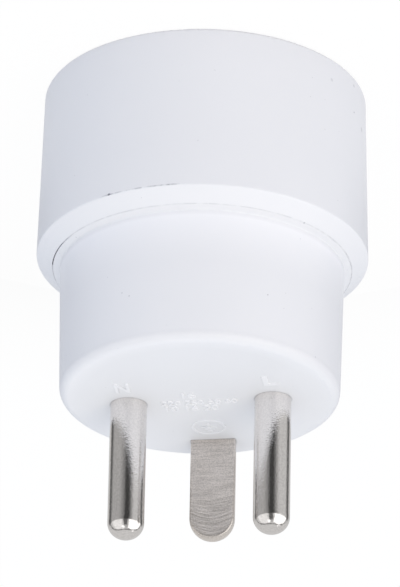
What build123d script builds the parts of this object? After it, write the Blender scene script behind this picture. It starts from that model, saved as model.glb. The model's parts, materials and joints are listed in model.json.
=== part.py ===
from build123d import *
import math
import os

# A plug adapter: an earthed round socket well below, a plug with two round pins and a half-round
# earth pin above. Millimetres. The socket rim lies on z = 0 with its centre at the origin,
# +X runs along the pair of pins and +Y points to the earth pin.

# Socket well and the body around it
well_radius = 19.6
well_depth = 17.5
well_draft = 0.2
rim_wall = 1.75
body_taper = 0.5
rim_round = 0.5
rim_lead_in = 0.4
floor_thickness = 2.5
well_corner = 0.8
shoulder_rise = 3.15
chamfer_height = 1.65
shoulder_round = 0.25

# Fittings inside the well
key_width = 4.6
key_reach = 2.6
key_setback = 1.5
fence_width = 1.0
fence_reach = 1.5
fence_setback = 5.0
fence_gap = 0.6
socket_hole_radius = 2.75
socket_hole_lead_in = 0.7

# Neck and face of the plug half
neck_inset = 0.9
neck_draft = 0.4
neck_wall = 2.0
ring_width = 0.95
ring_step = 0.05
ring_rise = 0.3
ring_round = 0.15
root_fillet = 0.25
ceiling_fillet = 0.4
skirt_wall = 2.0
skirt_roof = 2.0
seam_gap = 0.1
face_thickness = 3.0
face_round = 1.2

# Plug pins
pin_pitch = 19.0
pin_radius = 2.4
pin_length = 19.0
pin_tip_round = 2.2
pin_row_offset = 1.1
pin_seat_depth = 1.5
pin_seat_radius = 2.2
pin_tail_radius = 1.7
peen_overhang = 0.3
peen_height = 0.9
peen_round = 0.35

# Earth pin, a round bar milled flat on the side that faces the pins
earth_flat_offset = 12.8
earth_bar_radius = 3.0
earth_bar_depth = 3.77
earth_length = 14.2
earth_edge_round = 0.25
earth_seat_depth = 1.8
earth_tail_radius = 1.3
earth_tail_inset = 1.55
earth_peen_overhang = 0.5
earth_peen_clearance = 0.1

# Line contacts, each folded from one strip into a pair of spring legs
contact_space = 17.85
contact_strip = 0.8
contact_width = 5.0
contact_shoulder = 4.2
contact_grip = 4.4
contact_flare = 1.3
contact_bend = 1.0
shoulder_drop = 5.95
grip_top_drop = 8.45
grip_length = 5.5
contact_end_gap = 0.6

# Steel clips that press the legs together
clip_strip = 0.5
clip_height = 4.4
clip_reach = 0.7
clip_bend = 0.9

# Chambers around the contacts
chamber_gap = 0.5
chamber_wall = 1.0
web_thickness = 1.2

# Insulator plate between the well floor and the contacts
plate_thickness = 2.5
plate_clearance = 0.2
plate_hole_radius = 3.1

# Earth strip, its riser and its rivet
earth_strip_thickness = 0.8
earth_strip_width = 5.0
earth_strip_lift = 0.7
earth_strip_bend = 1.0
blade_root = 16.4
blade_knee = 18.3
blade_apex = 15.9
blade_tip = 18.0
blade_root_drop = 0.7
blade_knee_drop = 4.3
blade_apex_drop = 9.5
blade_tip_drop = 14.1
slot_clearance = 0.25
riser_back = 10.0
riser_edge_gap = 0.2
rivet_place = 13.3
rivet_radius = 1.25
rivet_head_radius = 2.1
rivet_head_height = 0.55
pad_length = 3.0
pad_width = 4.0
pad_place = 6.5

# Housing screws, on a diagonal of the body
screw_circle = 14.4
screw_angles = (45, 225)
screw_radius = 1.1
screw_length = 9.0
screw_head_radius = 2.3
screw_head_height = 1.2
screw_head_round = 0.4
screw_seat_depth = 1.3
screw_cross_length = 2.6
screw_cross_width = 0.7
screw_cross_depth = 0.6
pillar_radius = 2.6
pilot_spare = 1.2

# Small clearances
screw_clearance = 0.2
pillar_clearance = 0.3

# Heights worked out from the sizes above
floor_bottom = well_depth
floor_top = floor_bottom + floor_thickness
plate_top = floor_top + plate_thickness
ceiling = plate_top + contact_space
face = ceiling + face_thickness
shoulder = floor_top + shoulder_rise
body_top = shoulder + chamfer_height
ring_top = body_top + ring_step
neck_root = ring_top + ring_rise
skirt_top = ring_top - skirt_roof
strip_bottom = floor_top + earth_strip_lift
strip_top = strip_bottom + earth_strip_thickness
strip_middle = strip_bottom + earth_strip_thickness / 2
riser_foot_top = strip_top + earth_strip_thickness

# Radii and places worked out from the sizes above
well_floor_radius = well_radius - well_draft
rim_radius = well_radius + rim_wall
shoulder_radius = rim_radius + body_taper
neck_base_radius = well_radius - neck_inset
neck_top_radius = neck_base_radius - neck_draft
neck_base_inner = neck_base_radius - neck_wall
neck_top_inner = neck_top_radius - neck_wall
ring_radius = neck_base_radius + ring_width
bore_radius = ring_radius + seam_gap
skirt_inner = ring_radius - skirt_wall
pin_x = pin_pitch / 2
earth_bar_centre = earth_flat_offset + earth_bar_depth - earth_bar_radius
earth_tail_y = earth_flat_offset + earth_tail_inset
pin_seat = face - pin_seat_depth
earth_seat = face - earth_seat_depth
contact_base_bottom = ceiling - contact_strip
leg_outer = contact_grip / 2 + contact_strip
contact_outer = contact_shoulder + contact_strip / 2
chamber_half_y = contact_outer + chamber_gap / 2
chamber_half_x = contact_width / 2 + clip_reach + clip_strip + chamber_gap / 2
sides = {"left": -1, "right": 1}


def rod(radius, low, high, x=0, y=0):
    return Pos(x, y, low) * Cylinder(radius, high - low, align=(Align.CENTER, Align.CENTER, Align.MIN))


def block(x_range, y_range, z_range):
    size = [high - low for low, high in (x_range, y_range, z_range)]
    corner = [low for low, high in (x_range, y_range, z_range)]
    return Pos(*corner) * Box(*size, align=(Align.MIN, Align.MIN, Align.MIN))


def turned(points, rounds):
    """Turn a profile of (radius, height) points about Z, with the named corners rounded first."""
    face_of_profile = make_face(Polyline(*points, close=True))
    for (radius, height), size in rounds:
        corner = face_of_profile.vertices().sort_by_distance((radius, height, 0))[0]
        face_of_profile = fillet(corner, size)
    return revolve(Plane.XZ * face_of_profile, Axis.Z)


def folded(points, bend, thickness, width, x=0):
    """Fold a strip along (y, z) points, with every bend at one middle radius."""
    line = FilletPolyline(*[(x, y, z) for y, z in points], radius=bend)
    start = Plane(origin=line @ 0, x_dir=(1, 0, 0), z_dir=line % 0)
    return sweep(start * Rectangle(width, thickness), path=line)


def screw_places():
    return [(screw_circle * math.cos(math.radians(a)), screw_circle * math.sin(math.radians(a)))
            for a in screw_angles]


# Socket half: well, floor, outer wall and conical end in one moulding
def make_socket_housing():
    profile = [
        (well_radius, 0), (rim_radius, 0), (shoulder_radius, shoulder), (bore_radius, body_top),
        (bore_radius, floor_top), (0, floor_top), (0, floor_bottom), (well_floor_radius, floor_bottom)]
    rounds = [
        ((rim_radius, 0), rim_round), ((well_radius, 0), rim_lead_in),
        ((shoulder_radius, shoulder), shoulder_round), ((well_floor_radius, floor_bottom), well_corner)]
    housing = turned(profile, rounds)

    wall_depth = floor_bottom + floor_thickness / 2
    for side in sides.values():
        reach = sorted((side * (well_radius - key_reach), side * (well_radius + rim_wall / 2)))
        housing += block(reach, (-key_width / 2, key_width / 2), (key_setback, wall_depth))
        fence_low = earth_strip_width / 2 + fence_gap
        fence_y = sorted((side * (well_radius - fence_reach), side * (well_radius + rim_wall / 4)))
        for across in sides.values():
            fence_x = sorted((across * fence_low, across * (fence_low + fence_width)))
            housing += block(fence_x, fence_y, (fence_setback, wall_depth))
        pad_y = sorted((side * (pad_place - pad_length / 2), side * (pad_place + pad_length / 2)))
        housing += block((-pad_width / 2, pad_width / 2), pad_y, (floor_top, strip_bottom))

    for side in sides.values():
        hole_x = side * pin_x
        housing -= rod(socket_hole_radius, floor_bottom, floor_top, hole_x)
        housing -= Pos(hole_x, 0, floor_bottom + socket_hole_lead_in / 2) * Cone(
            socket_hole_radius + socket_hole_lead_in, socket_hole_radius, socket_hole_lead_in)
        slot_y = sorted((
            side * (blade_root - earth_strip_thickness / 2 - slot_clearance),
            side * (blade_root + earth_strip_thickness / 2 + slot_clearance)))
        slot_x = earth_strip_width / 2 + slot_clearance
        housing -= block((-slot_x, slot_x), slot_y, (floor_bottom, floor_top))
    for x, y in screw_places():
        housing -= rod(screw_radius + screw_clearance, floor_bottom, floor_top, x, y)
        housing -= rod(screw_head_radius + pillar_clearance, floor_bottom,
                       floor_bottom + screw_seat_depth, x, y)
    return housing


# Plug half: seat skirt, ring, neck and face, with chambers for the contacts and screw pillars
def make_plug_base():
    profile = [
        (skirt_inner, floor_top), (ring_radius, floor_top), (ring_radius, ring_top),
        (neck_base_radius, neck_root), (neck_top_radius, face), (0, face), (0, ceiling),
        (neck_top_inner, ceiling), (neck_base_inner, skirt_top), (skirt_inner, skirt_top)]
    rounds = [
        ((ring_radius, ring_top), ring_round), ((neck_base_radius, neck_root), root_fillet),
        ((neck_top_radius, face), face_round), ((neck_top_inner, ceiling), ceiling_fillet)]
    base = turned(profile, rounds)

    buried = face_thickness / 2
    for side in sides.values():
        centre = side * pin_x
        outer_x = (centre - chamber_half_x - chamber_wall, centre + chamber_half_x + chamber_wall)
        inner_x = (centre - chamber_half_x, centre + chamber_half_x)
        outer_y = (-chamber_half_y - chamber_wall, chamber_half_y + chamber_wall)
        chamber = block(outer_x, outer_y, (plate_top, ceiling + buried))
        web_x = sorted((side * (pin_x + chamber_half_x), side * (neck_top_inner + neck_wall / 2)))
        chamber += block(web_x, (-web_thickness / 2, web_thickness / 2), (ring_top, ceiling + buried))
        base += chamber - block(inner_x, (-chamber_half_y, chamber_half_y), (plate_top, ceiling))
    for x, y in screw_places():
        base += rod(pillar_radius, floor_top, ceiling + buried, x, y)
        base -= rod(screw_radius, floor_top, floor_top + screw_length + pilot_spare, x, y)

    for side in sides.values():
        hole_x = side * pin_x
        base -= rod(pin_seat_radius, pin_seat, face, hole_x, pin_row_offset)
        base -= rod(pin_tail_radius, ceiling, pin_seat, hole_x, pin_row_offset)
    base -= earth_bar(earth_seat, face)
    base -= rod(earth_tail_radius, ceiling, earth_seat, 0, earth_tail_y)
    peen_top = ceiling - earth_strip_thickness
    peen_room = earth_tail_radius + earth_peen_overhang + earth_peen_clearance
    base -= rod(peen_room, peen_top - peen_height, peen_top, 0, earth_tail_y)
    return base


def peened_tail(radius, overhang, low, high, x, y):
    """A tail that passes through a strip and is hammered over below it."""
    head = rod(radius + overhang, low - peen_height, low, x, y)
    head = fillet(head.edges().group_by(Axis.Z)[0], peen_round)
    return rod(radius, low, high, x, y) + head


# Line pin: a turned bar with a rounded tip, its shoulder on the face and its tail peened inside
def make_line_pin(side):
    x = side * pin_x
    bar = rod(pin_radius, face, face + pin_length, x, pin_row_offset)
    bar = fillet(bar.edges().group_by(Axis.Z)[-1], pin_tip_round)
    bar += rod(pin_seat_radius, pin_seat, face, x, pin_row_offset)
    tail = peened_tail(pin_tail_radius, peen_overhang, contact_base_bottom, pin_seat, x, pin_row_offset)
    return bar + tail


def earth_bar(low, high):
    """The part of the round bar that the milled flat leaves, between two heights."""
    flat = block((-earth_bar_radius, earth_bar_radius),
                 (earth_flat_offset, earth_bar_centre + earth_bar_radius), (low, high))
    return rod(earth_bar_radius, low, high, 0, earth_bar_centre) & flat


# Earth pin: the flat faces the line pins and the end is a half ball
def make_earth_pin():
    ball_centre = face + earth_length - earth_bar_radius
    nose = Pos(0, earth_bar_centre, ball_centre) * Sphere(earth_bar_radius)
    whole = rod(earth_bar_radius, earth_seat, ball_centre, 0, earth_bar_centre) + nose
    kept = block((-earth_bar_radius, earth_bar_radius),
                 (earth_flat_offset, earth_bar_centre + earth_bar_radius), (earth_seat, face + earth_length))
    bar = whole & kept
    flat_face = bar.faces().sort_by(Axis.Y)[0]
    seat_height = earth_seat + earth_seat_depth / 2
    worn_edges = [edge for edge in flat_face.edges() if edge.center().Z > seat_height]
    bar = fillet(worn_edges, earth_edge_round)
    tail = peened_tail(earth_tail_radius, earth_peen_overhang, ceiling - earth_strip_thickness,
                       earth_seat, 0, earth_tail_y)
    return bar + tail


# Line contact: a base under the face and two legs that close on the inserted pin
def make_line_contact(side):
    middle = ceiling - contact_strip / 2
    grip = (contact_grip + contact_strip) / 2
    leg_end = plate_top + contact_end_gap
    leg = [
        (grip + contact_flare, leg_end), (grip, middle - grip_top_drop - grip_length),
        (grip, middle - grip_top_drop), (contact_shoulder, middle - shoulder_drop),
        (contact_shoulder, middle)]
    path = leg + [(-y, z) for y, z in reversed(leg)]
    strip = folded(path, contact_bend, contact_strip, contact_width, side * pin_x)
    return strip - rod(pin_tail_radius, contact_base_bottom, ceiling, side * pin_x, pin_row_offset)


# Steel clip round the two legs, open towards the middle of the body
def make_contact_spring(side):
    centre = ceiling - contact_strip / 2 - grip_top_drop - grip_length / 2
    across = leg_outer + clip_strip / 2
    back = contact_width / 2 + clip_reach + clip_strip / 2
    front = -contact_width / 2
    points = [(front, across), (back, across), (back, -across), (front, -across)]
    line = FilletPolyline(*[(side * (pin_x + u), y, centre) for u, y in points], radius=clip_bend)
    start = Plane(origin=line @ 0, x_dir=(0, 0, 1), z_dir=line % 0)
    return sweep(start * Rectangle(clip_height, clip_strip), path=line)


# Plate that closes the chambers and keeps the earth strip apart from the line contacts
def make_insulator_plate():
    plate_radius = skirt_inner - plate_clearance
    plate = rod(plate_radius, floor_top, plate_top)
    groove = earth_strip_width / 2 + plate_clearance
    plate -= block((-groove, groove), (-plate_radius, plate_radius), (floor_top, strip_top))
    window = (riser_back - earth_strip_thickness / 2 - plate_clearance,
              rivet_place + rivet_head_radius + plate_clearance)
    plate -= block((-groove, groove), window, (floor_top, plate_top))
    for side in sides.values():
        plate -= rod(plate_hole_radius, floor_top, plate_top, side * pin_x)
    for angle in screw_angles:
        half = pillar_radius + pillar_clearance
        notch = rod(half, floor_top, plate_top, screw_circle)
        notch += block((screw_circle, plate_radius + half), (-half, half), (floor_top, plate_top))
        plate -= Rot(0, 0, angle) * notch
    return plate


# Earth strip: runs across above the well floor and bows down both sides of the well
def make_earth_strip():
    blade = [
        (blade_tip, floor_bottom - blade_tip_drop), (blade_apex, floor_bottom - blade_apex_drop),
        (blade_knee, floor_bottom - blade_knee_drop), (blade_root, floor_bottom - blade_root_drop),
        (blade_root, strip_middle)]
    path = blade + [(-y, z) for y, z in reversed(blade)]
    strip = folded(path, earth_strip_bend, earth_strip_thickness, earth_strip_width)
    return strip - rod(rivet_radius, strip_bottom, strip_top, 0, rivet_place)


# Earth riser: carries the earth from the strip up to the tail of the earth pin
def make_earth_riser():
    top = ceiling - earth_strip_thickness / 2
    foot = strip_top + earth_strip_thickness / 2
    reach = neck_top_inner - riser_edge_gap - ceiling_fillet
    path = [(reach, top), (riser_back, top), (riser_back, foot),
            (rivet_place + rivet_head_radius, foot)]
    riser = folded(path, earth_strip_bend, earth_strip_thickness, earth_strip_width)
    riser -= rod(earth_tail_radius, ceiling - earth_strip_thickness, ceiling, 0, earth_tail_y)
    return riser - rod(rivet_radius, strip_top, riser_foot_top, 0, rivet_place)


def make_earth_rivet():
    low = strip_bottom - rivet_head_height
    rivet = rod(rivet_radius, strip_bottom, riser_foot_top, 0, rivet_place)
    rivet += rod(rivet_head_radius, low, strip_bottom, 0, rivet_place)
    return rivet + rod(rivet_head_radius, riser_foot_top, riser_foot_top + rivet_head_height, 0, rivet_place)


# Two self-tapping screws from the well floor into the pillars
def make_housing_screws():
    screws = []
    seat = floor_bottom + screw_seat_depth
    for x, y in screw_places():
        head = rod(screw_head_radius, seat - screw_head_height, seat, x, y)
        head = fillet(head.edges().group_by(Axis.Z)[0], screw_head_round)
        screw = head + rod(screw_radius, seat, floor_top + screw_length, x, y)
        low = seat - screw_head_height
        for long_x, long_y in ((screw_cross_length, screw_cross_width), (screw_cross_width, screw_cross_length)):
            cross_x = (x - long_x / 2, x + long_x / 2)
            cross_y = (y - long_y / 2, y + long_y / 2)
            screw -= block(cross_x, cross_y, (low, low + screw_cross_depth))
        screws.append(screw)
    return Compound(children=screws)


nodes = {
    "socket_housing": make_socket_housing(),
    "plug_base": make_plug_base(),
    "earth_pin": make_earth_pin(),
    "insulator_plate": make_insulator_plate(),
    "earth_strip": make_earth_strip(),
    "earth_riser": make_earth_riser(),
    "earth_rivet": make_earth_rivet(),
    "housing_screws": make_housing_screws(),
}
for name, side in sides.items():
    nodes[f"line_pin_{name}"] = make_line_pin(side)
    nodes[f"line_contact_{name}"] = make_line_contact(side)
    nodes[f"contact_spring_{name}"] = make_contact_spring(side)

os.makedirs("parts", exist_ok=True)
for name, solid in nodes.items():
    export_step(solid, f"parts/{name}.step")
    print(name, round(solid.volume, 1))
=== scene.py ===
import json
import math

import bmesh
import bpy
from mathutils import Matrix, Vector


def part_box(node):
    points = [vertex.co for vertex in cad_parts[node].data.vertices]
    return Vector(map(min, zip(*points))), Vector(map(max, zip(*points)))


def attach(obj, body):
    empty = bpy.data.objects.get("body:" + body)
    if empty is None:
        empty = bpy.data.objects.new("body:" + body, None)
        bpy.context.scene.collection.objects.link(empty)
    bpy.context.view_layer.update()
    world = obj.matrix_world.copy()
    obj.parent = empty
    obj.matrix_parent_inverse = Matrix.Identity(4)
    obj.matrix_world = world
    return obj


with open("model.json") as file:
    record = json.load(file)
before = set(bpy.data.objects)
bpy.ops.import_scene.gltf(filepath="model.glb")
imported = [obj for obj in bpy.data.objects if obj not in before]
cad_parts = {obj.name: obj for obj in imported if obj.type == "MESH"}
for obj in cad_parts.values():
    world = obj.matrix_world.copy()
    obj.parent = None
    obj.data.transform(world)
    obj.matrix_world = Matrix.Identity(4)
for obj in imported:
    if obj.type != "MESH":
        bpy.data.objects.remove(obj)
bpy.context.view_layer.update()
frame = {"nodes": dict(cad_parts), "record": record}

mm = 0.001
nodes = frame["nodes"]

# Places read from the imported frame
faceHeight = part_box("plug_base")[1][2]
pinLow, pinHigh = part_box("line_pin_right")
earthLow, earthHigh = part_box("earth_pin")
pinRadius = (pinHigh[0] - pinLow[0]) / 2
pinX = (pinHigh[0] + pinLow[0]) / 2
pinY = (pinHigh[1] + pinLow[1]) / 2
earthRadius = (earthHigh[0] - earthLow[0]) / 2
aboveFace = faceHeight + 2 * mm
earthFlat = min(vertex.co.y for vertex in nodes["earth_pin"].data.vertices if vertex.co.z > aboveFace)
print("frame ready:", len(nodes), "nodes")

scene = bpy.context.scene
scene.view_settings.view_transform = "Standard"


# Camera, solved from the outlines in the photograph

shot = {
    "width": 400, "height": 587,
    "azimuth": -8.306, "elevation": 25.771, "roll": 181.135,
    "target": Vector((0, 0, 30 * mm)), "distance": 0.8,
    "scale": 7.621,              # pixels to the millimetre at the target
    "targetPixel": (201.464, 306.355),
    "sensor": 36, "near": 0.01, "far": 20,
}


def cameraAxes(settings):
    azimuth = math.radians(settings["azimuth"])
    elevation = math.radians(settings["elevation"])
    roll = math.radians(settings["roll"])
    back = Vector((math.sin(azimuth) * math.cos(elevation),
                   -math.cos(azimuth) * math.cos(elevation), math.sin(elevation)))
    level = (-back).cross(Vector((0, 0, 1))).normalized()
    upright = level.cross(-back)
    right = math.cos(roll) * level + math.sin(roll) * upright
    up = math.cos(roll) * upright - math.sin(roll) * level
    return right, up, back


def makeCamera(settings):
    right, up, back = cameraAxes(settings)
    data = bpy.data.cameras.new("photoCamera")
    longSide = settings["height"]
    focal = settings["scale"] * settings["distance"] / mm
    data.sensor_width = settings["sensor"]
    data.lens = data.sensor_width * focal / longSide
    data.shift_x = -(settings["targetPixel"][0] - settings["width"] / 2) / longSide
    data.shift_y = (settings["targetPixel"][1] - settings["height"] / 2) / longSide
    data.clip_start = settings["near"]
    data.clip_end = settings["far"]
    camera = bpy.data.objects.new("photoCamera", data)
    scene.collection.objects.link(camera)
    turn = Matrix((right, up, back)).transposed().to_4x4()
    camera.matrix_world = Matrix.Translation(settings["target"] + back * settings["distance"]) @ turn
    scene.camera = camera


makeCamera(shot)
print("camera set")


# Node trees: one method adds a node, and its values add, scale and compare like numbers

class Value:
    def __init__(self, graph, socket):
        self.graph = graph
        self.socket = socket

    def math(self, operation, first, second=0.0):
        return self.graph.add("ShaderNodeMath", {"operation": operation}, {0: first, 1: second})

    def __add__(self, other):
        return self.math("ADD", self, other)

    def __radd__(self, other):
        return self.math("ADD", other, self)

    def __sub__(self, other):
        return self.math("SUBTRACT", self, other)

    def __rsub__(self, other):
        return self.math("SUBTRACT", other, self)

    def __mul__(self, other):
        return self.math("MULTIPLY", self, other)

    def __rmul__(self, other):
        return self.math("MULTIPLY", other, self)

    def __pow__(self, other):
        return self.math("POWER", self, other)

    def size(self):
        return self.math("ABSOLUTE", self)

    # 0 at low, 1 at high and straight between; low may be the larger number
    def between(self, low, high):
        share = {"operation": "DIVIDE", "use_clamp": True}
        return self.graph.add("ShaderNodeMath", share, {0: self - low, 1: high - low})

    # 1 within the core's share of the reach on either side of 0, fading to 0 at the reach
    def near(self, reach, core):
        return self.size().between(reach, reach * core)


class Graph:
    def __init__(self, nodeTree):
        self.nodeTree = nodeTree
        nodeTree.nodes.clear()

    def add(self, kind, settings=None, values=None, output=0):
        node = self.nodeTree.nodes.new(kind)
        for key, item in (settings or {}).items():
            setattr(node, key, item)
        for key, item in (values or {}).items():
            if isinstance(item, Value):
                self.nodeTree.links.new(item.socket, node.inputs[key])
            else:
                node.inputs[key].default_value = item
        if isinstance(output, tuple):
            return [Value(self, node.outputs[key]) for key in output]
        return Value(self, node.outputs[output]) if len(node.outputs) else None

    def vectorMath(self, operation, first, second, output=0):
        return self.add("ShaderNodeVectorMath", {"operation": operation}, {0: first, 1: second}, output)


def opaque(colour):
    return colour if isinstance(colour, Value) else (*colour, 1)


class Finish(Graph):
    def __init__(self, name):
        self.material = bpy.data.materials.new(name)
        self.material.use_nodes = True
        super().__init__(self.material.node_tree)

    def place(self, scale=(1, 1, 1)):
        coordinates = self.add("ShaderNodeTexCoord", output="Object")
        return self.add("ShaderNodeMapping", values={"Vector": coordinates, "Scale": scale})

    def parts(self, vector):
        return self.add("ShaderNodeSeparateXYZ", values={0: vector}, output=(0, 1, 2))

    def vector(self, x, y, z):
        return self.add("ShaderNodeCombineXYZ", values={0: x, 1: y, 2: z})

    def noise(self, vector, scale, detail=2.0, roughness=0.5):
        return self.add("ShaderNodeTexNoise", values={
            "Vector": vector, "Scale": scale, "Detail": detail, "Roughness": roughness})

    def mix(self, factor, first, second):
        inputs = {0: factor, 6: opaque(first), 7: opaque(second)}
        return self.add("ShaderNodeMix", {"data_type": "RGBA"}, inputs, 2)

    def bump(self, height, distance=1.0):
        return self.add("ShaderNodeBump", values={"Height": height, "Distance": distance})

    def show(self, shader):
        self.add("ShaderNodeOutputMaterial", values={"Surface": shader})
        return self.material

    def surface(self, values):
        return self.show(self.add("ShaderNodeBsdfPrincipled", values=values))


# White moulded plastic of both shells: mottling, fine grain, burnt specks, dirt along the seam, a dark flash
# line, and painted shadow in the open seam and round the pin roots.
# Painted light: bounce light at the root of the neck, highlights on the raised marks and along the front edge
# of the plug face, and shade just below that edge.

shellPlastic = {
    "colour": (0.82, 0.82, 0.83), "shade": (0.79, 0.795, 0.805), "dirtAndShadowColour": (0.16, 0.16, 0.19),
    "mottleScale": 55, "mottleSpan": (0.35, 0.75), "mottle": 0.5,
    "grainScale": 2600, "grainHeight": 0.006 * mm,
    "waveScale": 180, "waveHeight": 0.03 * mm,
    "roughness": 0.42, "roughnessSpread": 0.08, "ior": 1.4,
    # painted highlight on the tops of the raised marks
    "markHighlightColour": (0.87, 0.87, 0.88), "markLow": 0.01 * mm, "markHigh": 0.05 * mm,
    # painted bounce light: the neck is lighter just above its root
    "rootBounceColour": (0.91, 0.91, 0.92), "rootLow": 25.9 * mm, "rootHigh": 32.5 * mm, "rootFall": 1.4,
    "rootSoft": 0.7 * mm, "neckRadius": 19.0 * mm, "neckSoft": 0.2 * mm,
    # painted highlight along the front edge of the plug face
    "edgeHighlightColour": (0.85, 0.85, 0.86), "bandInner": 15.2 * mm, "bandOuter": 17.2 * mm,
    "bandSide": 4 * mm, "bandFront": -8 * mm,
    # painted shade just below the edge of the plug face, where it would round down
    "edgeShadeColour": (0.775, 0.775, 0.785), "roundOuter": 18.0 * mm,
    "roundDrop": 1.2 * mm, "roundSoft": 0.3 * mm,
}

# Specks on the body: radius in mm, turn about the body in degrees, height and size in mm, how dark
shellSpecks = (
    (21.85, -64.2, 22.94, 0.19, 0.62), (21.47, -164.2, 5.44, 0.15, 0.80),
    (21.49, -172.6, 6.45, 0.34, 0.26), (19.70, -140.0, 24.86, 0.18, 0.42),
    (18.44, -125.7, 36.07, 0.14, 0.42), (18.45, -64.6, 35.73, 0.13, 0.46),
    (18.44, -68.0, 36.39, 0.13, 0.42), (19.08, -38.6, 25.03, 0.14, 0.26),
    (19.29, -22.4, 24.96, 0.12, 0.24), (17.90, -72.0, 43.00, 0.11, 0.24),
    (18.30, -152.2, 42.13, 0.14, 0.26), (21.38, -164.4, 1.45, 0.22, 0.28),
    (21.71, -95.9, 16.72, 0.14, 0.12), (21.49, -101.3, 6.28, 0.13, 0.16),
    (21.42, -148.7, 3.24, 0.26, 0.18),
)
speckEdge = {"wobbleScale": 3000, "wobble": 0.14 * mm, "outer": 1.5, "inner": 0.9}

# Smaller specks scattered over the whole body
straySpecks = {"scale": 620, "size": 0.085 * mm, "core": 0.5, "share": 0.25, "fade": 0.02, "depth": 0.3}

# The seam stands open on one side and is painted dark there as shadow, dirt lies along it, and a thread of
# flash runs along part of the shoulder
seamLine = {"radius": 19.70 * mm, "half": 0.11 * mm, "core": 0.4,
            "height": 24.86 * mm, "reach": 0.5 * mm, "reachCore": 0.7,
            "openFrom": -31, "openTo": -11, "openShadowDepth": 0.35, "depth": 0.20, "soft": 7}
flashLine = {"height": 23.0 * mm, "half": 0.13 * mm, "core": 0.3, "rise": 0.018 * mm,
             "turnFrom": -64, "turnTo": -88, "soft": 4, "depth": 0.60}

# Painted contact shadow round the pins where they leave the face, and the patches that the seam's dirt lies
# in
rootShadowLine = {"width": 0.20 * mm, "core": 0.2, "reach": 0.4 * mm, "reachCore": 0.5, "depth": 0.30}
dirtPatch = {"scale": 900, "span": (0.35, 0.6)}


def bodyPoint(radius, turn, height):
    angle = math.radians(turn)
    return Vector((radius * math.cos(angle), radius * math.sin(angle), height)) * mm


def speckMask(finish, place):
    wobble = finish.noise(place, speckEdge["wobbleScale"], detail=1.0) * speckEdge["wobble"]
    mask = None
    for radius, turn, height, size, depth in shellSpecks:
        away = finish.vectorMath("DISTANCE", place, bodyPoint(radius, turn, height), "Value")
        outer, inner = size * mm * speckEdge["outer"], size * mm * speckEdge["inner"]
        spot = (away + wobble).between(outer, inner) * depth
        mask = spot if mask is None else mask + spot

    stray = straySpecks
    cells = {"Vector": place, "Scale": stray["scale"]}
    away, shade = finish.add("ShaderNodeTexVoronoi", values=cells, output=("Distance", "Color"))
    chosen = finish.parts(shade)[0].between(stray["share"], stray["share"] - stray["fade"])
    return mask + away.near(stray["size"] * stray["scale"], stray["core"]) * chosen * stray["depth"]


# Dark lines at the joints: dirt along the seam, the dark flash line, and painted shadow in the open seam and
# round the pin roots
def jointDirtAndShadow(finish, place):
    x, y, z = finish.parts(place)
    turn = x.math("ARCTAN2", y, x) * (180 / math.pi)
    flat = finish.vector(x, y, 0.0)
    radius = finish.vectorMath("DISTANCE", flat, Vector((0, 0, 0)), "Value")
    patch = finish.noise(place, dirtPatch["scale"]).between(*dirtPatch["span"])

    line = seamLine
    ring = (radius - line["radius"]).near(line["half"], line["core"])
    level = (z - line["height"]).near(line["reach"], line["reachCore"])
    opening = (turn.between(line["openFrom"] - line["soft"], line["openFrom"])
               * turn.between(line["openTo"] + line["soft"], line["openTo"]))
    # Painted shadow along the open stretch of the seam, plus patchy dirt along the whole seam
    seamShadowAndDirt = ring * level * (opening * line["openShadowDepth"] + patch * line["depth"])

    line = flashLine
    along = turn.between(line["turnFrom"], line["turnTo"])
    edge = z - (along * line["rise"] + line["height"])
    ends = (turn.between(line["turnFrom"] + line["soft"], line["turnFrom"])
            * turn.between(line["turnTo"] - line["soft"], line["turnTo"]))
    flash = edge.near(line["half"], line["core"]) * ends * patch * line["depth"]

    # Painted contact shadow: a thin dark ring round each pin root on the face
    line = rootShadowLine
    outer, inner = line["width"], line["width"] * line["core"]
    onFace = z.between(faceHeight - line["reach"], faceHeight - line["reach"] * line["reachCore"])
    bar = finish.vectorMath("DISTANCE", flat, Vector((0, earthHigh[1] - earthRadius, 0)), "Value")
    rootShadows = (bar.between(earthRadius + outer, earthRadius + inner)
             * y.between(earthFlat - outer, earthFlat - inner))
    for centreX in (-pinX, pinX):
        away = finish.vectorMath("DISTANCE", flat, Vector((centreX, pinY, 0)), "Value")
        rootShadows = rootShadows + away.between(pinRadius + outer, pinRadius + inner)
    return seamShadowAndDirt + flash + rootShadows * onFace * line["depth"]


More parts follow.
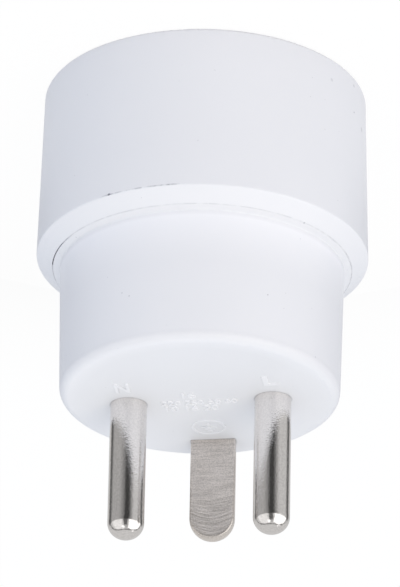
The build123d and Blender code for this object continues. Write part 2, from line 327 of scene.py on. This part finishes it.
def makeShellPlastic(name, settings):
    finish = Finish(name)
    place = finish.place()
    x, y, z = finish.parts(place)
    radius = finish.vectorMath("DISTANCE", finish.vector(x, y, 0.0), Vector((0, 0, 0)), "Value")
    mottle = finish.noise(place, settings["mottleScale"], detail=3.0)
    grain = finish.noise(place, settings["grainScale"])
    wave = finish.noise(place, settings["waveScale"], detail=1.0)
    mottled = mottle.between(*settings["mottleSpan"]) * settings["mottle"]
    clean = finish.mix(mottled, settings["colour"], settings["shade"])

    # Painted bounce light: the neck is made lighter just above its root
    root = (z.between(settings["rootHigh"], settings["rootLow"]) ** settings["rootFall"]
            * z.between(settings["rootLow"] - settings["rootSoft"], settings["rootLow"])
            * radius.between(settings["neckRadius"], settings["neckRadius"] - settings["neckSoft"]))
    clean = finish.mix(root, clean, settings["rootBounceColour"])

    # Painted highlight: a lighter band along the front edge of the plug face
    ledge = faceHeight - settings["roundDrop"]
    edgeHighlight = (radius.between(settings["bandInner"], settings["bandOuter"])
            * y.between(settings["bandSide"], settings["bandFront"]) * z.between(ledge, faceHeight))
    # Painted shade: darker just below the face edge, as if the edge rounded down more
    edgeShade = (radius.between(settings["bandOuter"], settings["roundOuter"])
               * z.between(ledge - settings["roundSoft"], ledge + settings["roundSoft"]))
    clean = finish.mix(edgeShade, finish.mix(edgeHighlight, clean, settings["edgeHighlightColour"]), settings["edgeShadeColour"])

    # Burnt specks and seam dirt, together with painted shadow in the open seam and round the pin roots
    dirtAndShadow = (speckMask(finish, place) + jointDirtAndShadow(finish, place)).between(0.0, 1.0)
    # Painted highlight: the tops of the raised marks are made lighter
    raised = z.between(faceHeight + settings["markLow"], faceHeight + settings["markHigh"])
    colour = finish.mix(raised, finish.mix(dirtAndShadow, clean, settings["dirtAndShadowColour"]), settings["markHighlightColour"])
    height = grain * settings["grainHeight"] + wave * settings["waveHeight"]
    return finish.surface({"IOR": settings["ior"], "Base Color": colour,
                           "Roughness": mottle * settings["roughnessSpread"] + settings["roughness"],
                           "Normal": finish.bump(height)})


# Grey moulded insulator

insulatorPlastic = {
    "colour": (0.50, 0.50, 0.48), "shade": (0.43, 0.43, 0.42),
    "mottleScale": 140, "mottleSpan": (0.3, 0.7), "grainScale": 3200, "grainHeight": 0.01 * mm,
    "roughness": 0.5, "roughnessSpread": 0.15,
}


def makeInsulatorPlastic(name, settings):
    finish = Finish(name)
    place = finish.place()
    mottle = finish.noise(place, settings["mottleScale"], detail=4.0)
    grain = finish.noise(place, settings["grainScale"])
    colour = finish.mix(mottle.between(*settings["mottleSpan"]), settings["colour"], settings["shade"])
    return finish.surface({"Base Color": colour,
                           "Roughness": mottle * settings["roughnessSpread"] + settings["roughness"],
                           "Normal": finish.bump(grain * settings["grainHeight"])})


# Bright nickel of the turned line pins: fine rings round the bar, pitted plating, dents at the tip

pinNickel = {
    "colour": (0.84, 0.81, 0.79), "shade": (0.63, 0.61, 0.595),
    "ringStretch": (60, 60, 5200), "ringHeight": 0.0012 * mm,
    "pitStretch": (4200, 4200, 6200), "pitSpan": (0.3, 0.75), "pitHeight": 0.009 * mm, "pitsAtTip": 0.35,
    "grainScale": 4800, "grainSpan": (0.66, 0.34), "grain": 0.45,
    "dentScale": 1700, "dentHeight": 0.014 * mm, "dentReach": 2.2 * mm, "dentFade": 1.3,
    "cloudScale": 420, "roughness": 0.09, "roughnessSpread": 0.08,
}


def makePinNickel(name, settings):
    finish = Finish(name)
    place = finish.place()
    z = finish.parts(place)[2]
    rings = finish.noise(finish.place(scale=settings["ringStretch"]), 1.0, detail=3.0, roughness=0.6)
    pits = finish.noise(finish.place(scale=settings["pitStretch"]), 1.0, detail=1.0)
    dents = finish.noise(place, settings["dentScale"])
    cloud = finish.noise(place, settings["cloudScale"], detail=3.0)
    tip = pinHigh[2] - settings["dentReach"]
    atTip = z.between(pinHigh[2] - settings["dentReach"] * settings["dentFade"], tip)
    grains = finish.noise(place, settings["grainScale"], detail=1.0).between(*settings["grainSpan"])
    colour = finish.mix(grains * settings["grain"], settings["colour"], settings["shade"])
    pitted = atTip * (settings["pitsAtTip"] - 1) + 1
    height = (rings * settings["ringHeight"]
              + pits.between(*settings["pitSpan"]) * pitted * settings["pitHeight"]
              + dents * atTip * settings["dentHeight"])
    return finish.surface({"Metallic": 1.0, "Base Color": colour,
                           "Roughness": cloud * settings["roughnessSpread"] + settings["roughness"],
                           "Normal": finish.bump(height)})


# Dull nickel of the earth pin: cutter marks run across the milled flat and curve round the nose,
# and the round back of the bar keeps a brighter skin

earthNickel = {
    "colour": (0.87, 0.81, 0.76), "shade": (0.46, 0.425, 0.395), "even": 0.7, "rootShade": 0.22,
    "fineStretch": 520, "fineScale": 6200, "fineSpan": (0.36, 0.62), "fineShare": 0.45,
    "coarseStretch": 240, "coarseScale": 3200, "coarseSpan": (0.40, 0.60), "coarseShare": 0.55,
    "depthStretch": 60, "lineHeight": 0.026 * mm,
    "speckleScale": 6500, "speckleSpan": (0.62, 0.38), "speckleHeight": 0.005 * mm, "speckle": 0.42,
    "curveStart": earthHigh[2] - 8 * mm, "curveEnd": earthHigh[2] - 1 * mm, "curve": 150.0,
    "plain": 0.38, "marked": 0.26,
    "flatDepth": 0.32 * mm, "flatCore": 0.3, "cloudScale": 500,
    "roughness": 0.30, "roughnessSpread": 0.12, "backRoughness": 0.22,
}


def makeEarthNickel(name, settings):
    finish = Finish(name)
    place = finish.place()
    x, y, z = finish.parts(place)
    nose = z.between(settings["curveStart"], settings["curveEnd"])
    along = z + x * x * nose * settings["curve"]
    deep = y * settings["depthStretch"]
    fineVector = finish.vector(x * settings["fineStretch"], deep, along * settings["fineScale"])
    coarseVector = finish.vector(x * settings["coarseStretch"], deep, along * settings["coarseScale"])
    fine = finish.noise(fineVector, 1.0, roughness=0.6).between(*settings["fineSpan"])
    coarse = finish.noise(coarseVector, 1.0, roughness=0.6).between(*settings["coarseSpan"])
    speckle = finish.noise(place, settings["speckleScale"], detail=1.0)
    cloud = finish.noise(place, settings["cloudScale"], detail=3.0)
    flatEnd = earthFlat + settings["flatDepth"]
    onFlat = y.between(flatEnd, earthFlat + settings["flatDepth"] * settings["flatCore"])
    marks = (fine * settings["fineShare"] + coarse * settings["coarseShare"]) * onFlat
    depth = nose * settings["marked"] + settings["plain"]
    # grains also holds painted shade: the bar is made darker towards its root
    grains = (speckle.between(*settings["speckleSpan"]) * settings["speckle"]
              + (1 - nose) * settings["rootShade"])
    shaded = (onFlat * settings["even"] - marks) * depth + grains
    colour = finish.mix(shaded, settings["colour"], settings["shade"])
    height = marks * depth * settings["lineHeight"] + speckle * settings["speckleHeight"]
    roughness = (cloud * settings["roughnessSpread"] + settings["backRoughness"]
                 + onFlat * (settings["roughness"] - settings["backRoughness"]))
    return finish.surface({"Metallic": 1.0, "Base Color": colour, "Roughness": roughness,
                           "Normal": finish.bump(height)})


# Rolled brass, plated strip, spring steel and zinc: one recipe for rolled and plated metal

rolledMetals = {
    "contact_brass": {"colour": (0.72, 0.54, 0.25), "shade": (0.58, 0.42, 0.19), "roughness": 0.26},
    "plated_strip": {"colour": (0.68, 0.66, 0.62), "shade": (0.56, 0.54, 0.51), "roughness": 0.24},
    "spring_steel": {"colour": (0.36, 0.38, 0.43), "shade": (0.26, 0.27, 0.31), "roughness": 0.32},
    "zinc_steel": {"colour": (0.62, 0.64, 0.67), "shade": (0.50, 0.52, 0.56), "roughness": 0.30},
}
rollingMarks = {"stretch": (3800, 90, 90), "height": 0.002 * mm, "roughnessSpread": 0.16,
                "cloudScale": 300, "cloudSpan": (0.35, 0.75)}


def makeRolledMetal(name, settings):
    finish = Finish(name)
    grain = finish.noise(finish.place(scale=rollingMarks["stretch"]), 1.0, detail=3.0, roughness=0.6)
    cloud = finish.noise(finish.place(), rollingMarks["cloudScale"], detail=3.0)
    colour = finish.mix(cloud.between(*rollingMarks["cloudSpan"]), settings["colour"], settings["shade"])
    return finish.surface({"Metallic": 1.0, "Base Color": colour,
                           "Roughness": grain * rollingMarks["roughnessSpread"] + settings["roughness"],
                           "Normal": finish.bump(grain * rollingMarks["height"])})


finishes = {}
for slotName, metal in rolledMetals.items():
    finishes[slotName] = makeRolledMetal(slotName + "Finish", metal)
finishes["shell_white"] = makeShellPlastic("shellPlastic", shellPlastic)
finishes["insulator_grey"] = makeInsulatorPlastic("insulatorPlastic", insulatorPlastic)
finishes["bright_nickel"] = makePinNickel("pinNickel", pinNickel)
finishes["satin_nickel"] = makeEarthNickel("earthNickel", earthNickel)

slotOfNode = {entry["node"]: entry["material_slot"] for entry in frame["record"]["subparts"]}
for nodeName, nodeObject in nodes.items():
    for materialSlot in nodeObject.material_slots:
        materialSlot.material = finishes[slotOfNode[nodeName]]
print("finishes on", len(nodes), "nodes")


def addPiece(name, mesh, slotName):
    mesh.materials.clear()
    mesh.materials.append(finishes[slotName])
    piece = bpy.data.objects.new(name, mesh)
    scene.collection.objects.link(piece)
    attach(piece, "root")
    print(name, "has", len(mesh.polygons), "faces")


# Raised marks on the plug face: the terminal letters, the earth sign and plain numbers.
# They are read with the earth pin below, so their right is -X and their up is -Y.

faceMarks = {
    "rise": 0.10 * mm, "sink": 0.05 * mm, "bevel": 0.05 * mm, "bevelSteps": 1, "curveSteps": 4,
    "merge": 0.0005 * mm,        # points nearer than this become one
    "capHeight": 0.72,           # of the type size
    "words": (
        {"text": "N", "centre": (9.6, -4.0), "height": 2.5, "weight": 0.12, "wide": 0.80},
        {"text": "L", "centre": (-9.7, -4.4), "height": 2.5, "weight": 0.12, "wide": 1.25},
        {"text": "16", "centre": (1.5, -1.0), "height": 1.6, "weight": 0.07, "wide": 1.0},
        {"text": "220 250 50 60", "centre": (0.2, 1.1), "height": 1.25, "weight": 0.05, "wide": 1.0},
        {"text": "10 16 20", "centre": (1.5, 2.9), "height": 1.5, "weight": 0.06, "wide": 1.0},
    ),
    "earthSign": {"centre": (0.0, 8.9), "ring": 2.1, "stroke": 0.28, "weight": 0.03, "stem": 1.2,
                  "bars": ((0.1, 1.05), (-0.5, 0.68), (-1.1, 0.32)), "steps": 48},
}


def pressed(curve, centre, weight, wide=1.0):
    half = (faceMarks["rise"] + faceMarks["sink"]) / 2
    curve.extrude = half - faceMarks["bevel"]
    curve.bevel_depth = faceMarks["bevel"]
    curve.bevel_resolution = faceMarks["bevelSteps"]
    curve.offset = weight * mm - faceMarks["bevel"]
    curve.resolution_u = faceMarks["curveSteps"]
    holder = bpy.data.objects.new("markOutline", curve)
    scene.collection.objects.link(holder)
    mesh = bpy.data.meshes.new_from_object(holder.evaluated_get(bpy.context.evaluated_depsgraph_get()))
    bpy.data.objects.remove(holder)
    place = Vector((centre[0] * mm, centre[1] * mm, faceHeight + faceMarks["rise"] - half))
    mesh.transform(Matrix.Translation(place) @ Matrix.Diagonal((-wide, -1, 1, 1)))
    return mesh


def wordMesh(word):
    curve = bpy.data.curves.new("markText", "FONT")
    curve.body = word["text"]
    curve.size = word["height"] * mm / faceMarks["capHeight"]
    curve.align_x = "CENTER"
    curve.align_y = "CENTER"
    return pressed(curve, word["centre"], word["weight"], word["wide"])


def earthSignMesh(sign):
    half = sign["stroke"] / 2
    circle = [2 * math.pi * i / sign["steps"] for i in range(sign["steps"])]
    outlines = [[(radius * math.cos(angle), radius * math.sin(angle)) for angle in circle]
                for radius in (sign["ring"] + half, sign["ring"] - half)]
    top, reach = sign["bars"][0]
    outlines.append([
        (-half, sign["stem"]), (-half, top + half), (-reach, top + half), (-reach, top - half),
        (reach, top - half), (reach, top + half), (half, top + half), (half, sign["stem"])])
    for level, reach in sign["bars"][1:]:
        low, high = level - half, level + half
        outlines.append([(-reach, high), (-reach, low), (reach, low), (reach, high)])
    curve = bpy.data.curves.new("earthSign", "CURVE")
    curve.dimensions = "2D"
    curve.fill_mode = "BOTH"
    for outline in outlines:
        spline = curve.splines.new("POLY")
        spline.points.add(len(outline) - 1)
        for point, (across, up) in zip(spline.points, outline):
            point.co = (across * mm, up * mm, 0, 1)
        spline.use_cyclic_u = True
    return pressed(curve, sign["centre"], sign["weight"])


def makeFaceMarks(settings):
    joined = bmesh.new()
    for word in settings["words"]:
        joined.from_mesh(wordMesh(word))
    joined.from_mesh(earthSignMesh(settings["earthSign"]))
    bmesh.ops.remove_doubles(joined, verts=joined.verts, dist=settings["merge"])
    bmesh.ops.recalc_face_normals(joined, faces=joined.faces)
    mesh = bpy.data.meshes.new("faceMarks")
    joined.to_mesh(mesh)
    joined.free()
    addPiece("faceMarks", mesh, "shell_white")


makeFaceMarks(faceMarks)


# Pieces grown with Geometry Nodes: each size is a named input, and the result becomes a plain mesh

class GrownPiece(Graph):
    def __init__(self, name, slotName, sizes):
        self.name, self.slotName, self.sizes = name, slotName, sizes
        self.tree = bpy.data.node_groups.new(name, "GeometryNodeTree")
        self.tree.interface.new_socket("Geometry", in_out="OUTPUT", socket_type="NodeSocketGeometry")
        self.identifiers = {}
        for key, size in sizes.items():
            kind = "NodeSocketVector" if isinstance(size, Vector) else "NodeSocketFloat"
            socket = self.tree.interface.new_socket(key, in_out="INPUT", socket_type=kind)
            self.identifiers[key] = socket.identifier
        super().__init__(self.tree)
        self.inputs = self.add("NodeGroupInput", output=tuple(sizes))

    def swept(self, path, sides, radius):
        section = self.add("GeometryNodeCurvePrimitiveCircle", values={"Resolution": sides, "Radius": radius})
        return self.add("GeometryNodeCurveToMesh", values={
            "Curve": path, "Profile Curve": section, "Fill Caps": True})

    def grow(self, shape):
        real = self.add("GeometryNodeRealizeInstances", values={"Geometry": shape})
        finished = self.add("GeometryNodeSetMaterial", values={
            "Geometry": real, "Material": finishes[self.slotName]})
        self.add("NodeGroupOutput", values={"Geometry": finished})
        holder = bpy.data.objects.new(self.name + "Holder", bpy.data.meshes.new(self.name + "Holder"))
        scene.collection.objects.link(holder)
        modifier = holder.modifiers.new(self.name, "NODES")
        modifier.node_group = self.tree
        for key, identifier in self.identifiers.items():
            modifier[identifier] = self.sizes[key]
        mesh = bpy.data.meshes.new_from_object(holder.evaluated_get(bpy.context.evaluated_depsgraph_get()))
        holder.modifiers.remove(modifier)
        bpy.data.objects.remove(holder)
        addPiece(self.name, mesh, self.slotName)


# Threads of the housing screws: one ridge wound round each shank

screwThread = {"coreRadius": 1.1 * mm, "ridge": 0.2 * mm, "pitch": 0.9 * mm, "length": 8.0 * mm,
               "tip": 0.6 * mm, "pointsPerTurn": 20, "sides": 4}


def shankPlace(side):
    points = [vertex.co for vertex in nodes["housing_screws"].data.vertices if vertex.co.x * side > 0]
    x = (min(point.x for point in points) + max(point.x for point in points)) / 2
    y = (min(point.y for point in points) + max(point.y for point in points)) / 2
    top = max(point.z for point in points)
    return Vector((x, y, top - screwThread["tip"] - screwThread["length"]))


def makeScrewThreads(settings):
    piece = GrownPiece("screwThreads", "zinc_steel", {
        "Core Radius": settings["coreRadius"], "Ridge": settings["ridge"], "Length": settings["length"],
        "Pitch": settings["pitch"], "First Screw": shankPlace(1), "Second Screw": shankPlace(-1)})
    core, ridge, length, pitch, first, second = piece.inputs
    turns = piece.add("ShaderNodeMath", {"operation": "DIVIDE"}, {0: length, 1: pitch})
    helix = piece.add("GeometryNodeCurveSpiral", values={
        "Resolution": settings["pointsPerTurn"], "Rotations": turns, "Start Radius": core, "End Radius": core,
        "Height": length})
    shanks = piece.add("GeometryNodeMeshLine", {"mode": "END_POINTS"},
                       {"Count": 2, "Start Location": first, "Offset": second})
    thread = piece.swept(helix, settings["sides"], ridge)
    piece.grow(piece.add("GeometryNodeInstanceOnPoints", values={"Points": shanks, "Instance": thread}))


makeScrewThreads(screwThread)


# A thin melted bead closes the seam between the halves, but for the stretch that stands open

seamBead = {"height": 24.76 * mm, "radius": 19.70 * mm, "thickness": 0.065 * mm,
            "from": seamLine["openTo"], "to": 360 + seamLine["openFrom"], "step": 1.5, "sides": 6}


def makeSeamBead(settings):
    sweepTurn = settings["to"] - settings["from"]
    piece = GrownPiece("seamBead", "shell_white", {
        "Radius": settings["radius"], "Thickness": settings["thickness"],
        "Start Angle": math.radians(settings["from"]), "Sweep Angle": math.radians(sweepTurn),
        "Place": Vector((0, 0, settings["height"]))})
    radius, thickness, start, sweep, place = piece.inputs
    arc = piece.add("GeometryNodeCurveArc", values={
        "Resolution": int(sweepTurn / settings["step"]), "Radius": radius,
        "Start Angle": start, "Sweep Angle": sweep})
    bead = piece.swept(arc, settings["sides"], thickness)
    piece.grow(piece.add("GeometryNodeTransform", values={"Geometry": bead, "Translation": place}))


makeSeamBead(seamBead)


# Studio: floor, lamps, and the boxes and dark frames that the bright metal mirrors.
# Turns are degrees from the camera towards the right of the picture, heights are above level.

studio = {
    "floorHalf": 3.0, "floorDrop": 0.05 * mm, "floorColour": (0.74, 0.74, 0.75),
    "white": (1, 1, 1), "whiteGlow": 1.0, "floorWhite": 0.95,
    "fill": 0.87, "fillColour": (0.925, 0.985, 1.125),
    "lamps": {
        "keyBox": {"turn": 30, "height": 30, "distance": 0.9, "size": 0.7, "power": 2.3,
                   "colour": (1.0, 0.87, 0.70)},
        "topBox": {"turn": 0, "height": 84, "distance": 0.9, "size": 0.7, "power": 0.85,
                   "colour": (1.0, 0.90, 0.45)},
    },
    "boxes": {
        "backTent": {"turns": (-180, 180), "heights": (0, 90), "radius": 0.90, "glow": 0.68},
        "rightBox": {"turns": (22, 105), "heights": (0, 60), "radius": 0.80, "glow": 1.5},
        "leftBox": {"turns": (-92, -24), "heights": (0, 60), "radius": 0.80, "glow": 0.98},
        "smallBox": {"turns": (-33, -12), "heights": (46, 60), "radius": 0.76, "glow": 1.6},
        "lowCurtain": {"turns": (-15, 11), "heights": (0, 43), "radius": 0.74, "glow": 0.13},
        "highCurtain": {"turns": (-12, 16), "heights": (43, 62), "radius": 0.74, "glow": 0.5},
    },
    # Dark cards low behind the object, seen by the plastic only: they darken its left and right outline
    "flags": {
        "leftFlag": {"turns": (-180, -108), "heights": (-26, -3), "radius": 0.068, "glow": 0.05},
        "rightFlag": {"turns": (118, 180), "heights": (-26, -3), "radius": 0.068, "glow": 0.35},
    },
    "boxSteps": 16,
    "arch": {"line": ((-112, -2), (-112, 14), (-107, 36), (-94, 49), (-72, 62), (-36, 70), (0, 72),
                      (36, 70), (72, 62), (94, 49), (107, 36), (112, 14), (112, -2)),
             "width": 7, "radius": 0.70, "glow": 0.2},
}

# What the metal mirrors from the table top, as one soft-edged pattern round the object
tableCard = {
    "near": 45 * mm, "far": 2.0, "lift": 0.2 * mm, "steps": 96,
    "dark": 0.055, "darkFrom": -10, "darkTo": 13,
    "left": 0.44, "leftReach": 38, "leftCurve": 0.6,
    "right": 0.62, "rightReach": 34, "rightCurve": 1.1,
    "behind": 0.65, "edge": 0.11, "edgeTurn": 114, "edgeHalf": 5, "edgeSoft": 14,
}


def cameraHeading():
    right, up, back = cameraAxes(shot)
    ahead = Vector((back.x, back.y, 0)).normalized()
    side = Vector((0, 0, 1)).cross(ahead)
    return ahead, side if side.dot(right) > 0 else -side


def studioDirection(turn, height):
    ahead, side = cameraHeading()
    flat = math.cos(math.radians(turn)) * ahead + math.sin(math.radians(turn)) * side
    return math.cos(math.radians(height)) * flat + Vector((0, 0, math.sin(math.radians(height))))


# 1 for a ray of the camera, or one that comes by way of metal or glass
def seenDirectly(graph):
    kinds = ("Is Camera Ray", "Is Glossy Ray", "Is Transmission Ray")
    camera, glossy, passed = graph.add("ShaderNodeLightPath", output=kinds)
    return camera + glossy + passed


def makeWorld(settings):
    world = bpy.data.worlds.new("studioWorld")
    scene.world = world
    world.use_nodes = True
    graph = Graph(world.node_tree)
    fill = graph.add("ShaderNodeBackground", values={
        "Color": opaque(settings["fillColour"]), "Strength": settings["fill"]})
    white = graph.add("ShaderNodeBackground", values={
        "Color": opaque(settings["white"]), "Strength": settings["whiteGlow"]})
    shown = graph.add("ShaderNodeMixShader", values={0: seenDirectly(graph), 1: fill, 2: white})
    graph.add("ShaderNodeOutputWorld", values={"Surface": shown})


# seenBy limits a stage item to the rays that come from metal or from plastic
def addStage(name, points, faces, material, seenBy=None):
    mesh = bpy.data.meshes.new(name)
    mesh.from_pydata(points, [], faces)
    mesh.materials.append(material)
    item = bpy.data.objects.new(name, mesh)
    scene.collection.objects.link(item)
    if seenBy:
        item.visible_camera = False
        item.visible_shadow = False
        item.visible_transmission = False
        item.visible_diffuse = seenBy == "plastic"
        item.visible_glossy = seenBy == "metal"


def glowing(finish, colour, glow=1.0):
    return finish.add("ShaderNodeEmission", values={"Color": opaque(colour), "Strength": glow})


def makeFloor(settings):
    finish = Finish("floorPaper")
    direct = seenDirectly(finish)
    colour = finish.mix(direct, settings["floorColour"], settings["white"])
    paper = finish.add("ShaderNodeBsdfDiffuse", values={"Color": colour})
    white = glowing(finish, settings["white"], settings["whiteGlow"])
    shown = finish.add("ShaderNodeMixShader", values={0: direct * settings["floorWhite"], 1: paper, 2: white})
    half = settings["floorHalf"]
    flat = ((-half, -half), (half, -half), (half, half), (-half, half))
    corners = [(x, y, -settings["floorDrop"]) for x, y in flat]
    addStage("floor", corners, [(0, 1, 2, 3)], finish.show(shown))


def makeGlow(name, glow):
    finish = Finish(name)
    return finish.show(glowing(finish, (glow, glow, glow)))


def makeBoxes(boxes, steps, seenBy):
    row = steps + 1
    faces = [(i * row + j, i * row + j + 1, (i + 1) * row + j + 1, (i + 1) * row + j)
             for i in range(steps) for j in range(steps)]
    for name, box in boxes.items():
        (firstTurn, lastTurn), (low, high) = box["turns"], box["heights"]
        points = []
        for i in range(row):
            height = low + (high - low) * i / steps
            for j in range(row):
                turn = firstTurn + (lastTurn - firstTurn) * j / steps
                points.append(shot["target"] + studioDirection(turn, height) * box["radius"])
        addStage(name, points, faces, makeGlow(name + "Glow", box["glow"]), seenBy)


def makeArch(arch):
    centres = [studioDirection(turn, height) for turn, height in arch["line"]]
    points = []
    for i, centre in enumerate(centres):
        along = centres[min(i + 1, len(centres) - 1)] - centres[max(i - 1, 0)]
        across = centre.cross(along).normalized() * math.tan(math.radians(arch["width"] / 2))
        points.append(shot["target"] + (centre + across) * arch["radius"])
        points.append(shot["target"] + (centre - across) * arch["radius"])
    faces = [(2 * i, 2 * i + 1, 2 * i + 3, 2 * i + 2) for i in range(len(centres) - 1)]
    addStage("arch", points, faces, makeGlow("archGlow", arch["glow"]), "metal")


def makeTableCard(card):
    finish = Finish("tablePattern")
    ahead, side = cameraHeading()
    place = finish.add("ShaderNodeTexCoord", output="Object")
    front = finish.vectorMath("DOT_PRODUCT", place, ahead, "Value")
    right = finish.vectorMath("DOT_PRODUCT", place, side, "Value")
    turn = right.math("ARCTAN2", right, front) * (180 / math.pi)

    leftShare = turn.between(card["darkFrom"], card["darkFrom"] - card["leftReach"]) ** card["leftCurve"]
    rightShare = turn.between(card["darkTo"], card["darkTo"] + card["rightReach"]) ** card["rightCurve"]
    level = (leftShare * (card["left"] - card["dark"]) + rightShare * (card["right"] - card["dark"])
             + card["dark"])
    away = turn.size()
    behind = away.between(card["edgeTurn"], card["edgeTurn"] + card["edgeHalf"])
    level = level + behind * (card["behind"] - level)
    offEdge = (away - card["edgeTurn"]).size().between(card["edgeHalf"], card["edgeHalf"] + card["edgeSoft"])
    level = offEdge * (level - card["edge"]) + card["edge"]
    grey = finish.add("ShaderNodeCombineColor", values={0: level, 1: level, 2: level})
    steps = card["steps"]
    lift = Vector((0, 0, card["lift"]))
    points = [studioDirection(360 * i / steps, 0) * reach + lift
              for reach in (card["near"], card["far"]) for i in range(steps)]
    faces = [(i, (i + 1) % steps, steps + (i + 1) % steps, steps + i) for i in range(steps)]
    addStage("tableCard", points, faces, finish.show(glowing(finish, grey)), "metal")


def makeLamps(settings):
    for name, lamp in settings["lamps"].items():
        data = bpy.data.lights.new(name, "AREA")
        data.shape = "SQUARE"
        data.size = lamp["size"]
        data.energy = lamp["power"]
        data.color = lamp["colour"]
        light = bpy.data.objects.new(name, data)
        scene.collection.objects.link(light)
        direction = studioDirection(lamp["turn"], lamp["height"])
        light.location = shot["target"] + direction * lamp["distance"]
        light.rotation_euler = direction.to_track_quat("Z", "Y").to_euler()
        light.visible_glossy = False


makeWorld(studio)
makeFloor(studio)
makeBoxes(studio["boxes"], studio["boxSteps"], "metal")
makeBoxes(studio["flags"], studio["boxSteps"], "plastic")
makeArch(studio["arch"])
makeTableCard(tableCard)
makeLamps(studio)
print("studio set")
